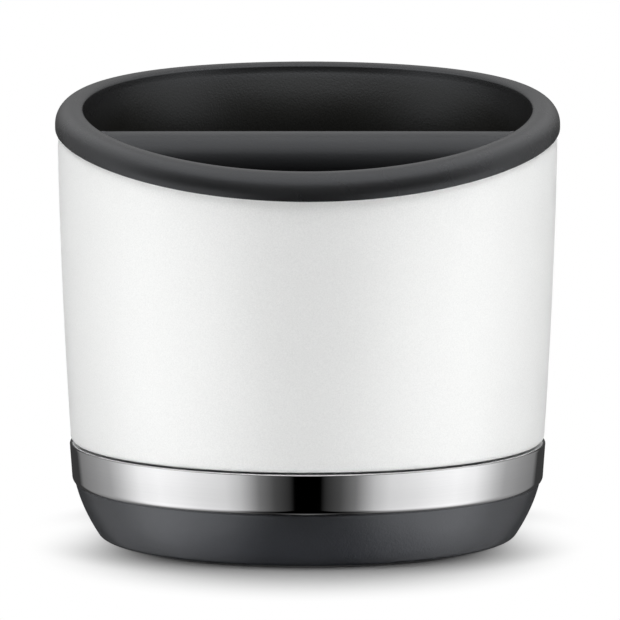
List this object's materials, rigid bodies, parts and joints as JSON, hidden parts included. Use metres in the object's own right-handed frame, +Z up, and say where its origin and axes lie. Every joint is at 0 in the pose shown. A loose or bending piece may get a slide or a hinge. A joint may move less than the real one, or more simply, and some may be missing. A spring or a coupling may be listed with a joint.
{
  "type": "espresso knock box",
  "caption": "Round bin for spent coffee grounds with a sloping rolled rim, a lift-out knock bar across its mouth, a bright ring and a rubber boot at its foot.",
  "frame": {"origin": "middle of the round footprint, on the surface the box stands on", "axes": "+Z up; -Y is the front, where the rim is lowest; X along the knock bar"},
  "size_m": [0.1348, 0.1348, 0.1218],
  "materials": {
    "shell_paint": "satin pearl white paint on sheet steel",
    "bin_plastic": "fine matte charcoal moulding",
    "ring_chrome": "polished",
    "boot_rubber": "soft matte",
    "plate_plastic": "plain moulding",
    "screw_steel": "plain zinc",
    "rod_steel": "drawn rod",
    "bar_rubber": "soft satin",
    "bar_plastic": "fine matte moulding"
  },
  "bodies": {
    "box": {"outer_shell": "shell_paint", "inner_bin": "bin_plastic", "trim_ring": "ring_chrome", "base_boot": "boot_rubber", "base_plate": "plate_plastic", "base_screw_1": "screw_steel", "base_screw_2": "screw_steel", "base_screw_3": "screw_steel", "base_screw_4": "screw_steel"},
    "knock_bar": {"bar_rod": "rod_steel", "bar_sleeve": "bar_rubber", "bar_end_left": "bar_plastic", "bar_end_right": "bar_plastic"}
  },
  "joints": [
    {"name": "knock_bar_lift", "type": "slide", "parent": "box", "child": "knock_bar", "axis": [0, 0, 1], "range_m": [0, 0.06]}
  ]
}
